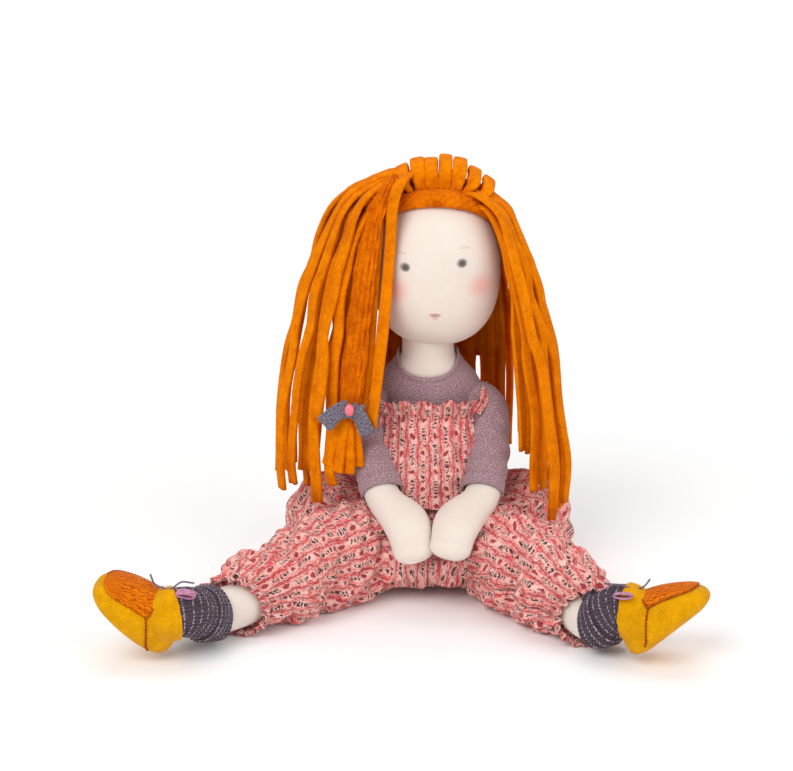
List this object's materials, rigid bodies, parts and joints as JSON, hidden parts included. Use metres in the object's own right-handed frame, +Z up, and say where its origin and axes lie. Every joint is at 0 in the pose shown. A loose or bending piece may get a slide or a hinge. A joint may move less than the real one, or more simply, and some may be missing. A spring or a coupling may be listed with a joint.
{
  "type": "rag doll",
  "caption": "Seated rag doll with felt strip hair, jersey top, gathered romper, ribbed socks and felt slippers; head, arms and legs turn at sewn joints.",
  "frame": {"origin": "middle of the bounding box at the surface that the doll sits on", "axes": "+Z up, -Y towards the doll's front, +X towards the doll's left hand, on the viewer's right, across both feet"},
  "size_m": [0.3522, 0.2174, 0.2712],
  "materials": {
    "skin": "cream cotton jersey, brushed",
    "filling": "white fibre filling",
    "pellets": "bag of pellets",
    "shirt": "mauve grey marl jersey",
    "romper": "coral gathered cotton with a printed pattern",
    "hair": "orange felt strips",
    "cap": "orange felt",
    "sock": "dark purple marl rib with a fine shiny thread",
    "shoe": "mustard felt",
    "vamp": "orange stitched felt",
    "lace": "purple grey thread",
    "tab": "pink purple ribbon",
    "bead": "pink painted wood",
    "tie": "blue grey marl jersey strip"
  },
  "bodies": {
    "torso": {"torso_skin": "skin", "pellet_bag": "pellets", "torso_filling": "filling", "neck": "skin", "neckband": "shirt", "shirt_body": "shirt", "romper_front": "romper", "romper_back": "romper", "romper_frill": "romper", "strap_left": "romper", "strap_right": "romper", "romper_seat": "romper"},
    "head": {"head_filling": "filling", "head_skin": "skin", "hair_cap": "cap", "hair_right_front": "hair", "hair_right_side": "hair", "hair_right_back": "hair", "hair_back_right": "hair", "hair_back_left": "hair", "hair_left_back": "hair", "hair_left_side": "hair", "hair_left_front": "hair", "hair_face": "hair", "hair_tied": "hair", "hair_crown": "hair", "tie_band": "tie", "tie_bow": "tie", "tie_bead": "bead"},
    "arm_left": {"arm_left": "skin", "sleeve_left": "shirt", "cuff_left": "shirt"},
    "arm_right": {"arm_right": "skin", "sleeve_right": "shirt", "cuff_right": "shirt"},
    "leg_left": {"leg_left": "skin", "trouser_left": "romper", "hem_frill_left": "romper", "sock_left": "sock", "sock_cuff_left": "sock", "sole_left": "shoe", "shoe_heel_left": "shoe", "shoe_toe_left": "shoe", "vamp_left": "vamp", "lace_left": "lace", "tab_left": "tab"},
    "leg_right": {"leg_right": "skin", "trouser_right": "romper", "hem_frill_right": "romper", "sock_right": "sock", "sock_cuff_right": "sock", "sole_right": "shoe", "shoe_heel_right": "shoe", "shoe_toe_right": "shoe", "vamp_right": "vamp", "lace_right": "lace", "tab_right": "tab"}
  },
  "joints": [
    {"name": "head_turn", "type": "hinge", "parent": "torso", "child": "head", "pos_m": [0.01686, 0.04955, 0.16], "axis": [0, 0, 1], "range_deg": [-40, 40], "deforming": ["hair_right_front", "hair_right_side", "hair_right_back", "hair_back_right", "hair_back_left", "hair_left_back", "hair_left_side", "hair_left_front", "hair_face", "hair_tied", "hair_crown", "tie_band", "tie_bow", "tie_bead"]},
    {"name": "arm_left_lift", "type": "hinge", "parent": "torso", "child": "arm_left", "pos_m": [-0.02314, 0.04755, 0.108], "axis": [-1, 0, 0], "range_deg": [0, 90]},
    {"name": "arm_right_lift", "type": "hinge", "parent": "torso", "child": "arm_right", "pos_m": [0.05686, 0.04755, 0.108], "axis": [-1, 0, 0], "range_deg": [0, 90]},
    {"name": "leg_left_swing", "type": "hinge", "parent": "torso", "child": "leg_left", "pos_m": [-0.01814, 0.02155, 0.0265], "axis": [0.6947, -0.7193, 0], "range_deg": [0, 80]},
    {"name": "leg_right_swing", "type": "hinge", "parent": "torso", "child": "leg_right", "pos_m": [0.05186, 0.02155, 0.0265], "axis": [0.8387, 0.5446, 0], "range_deg": [0, 80]}
  ]
}
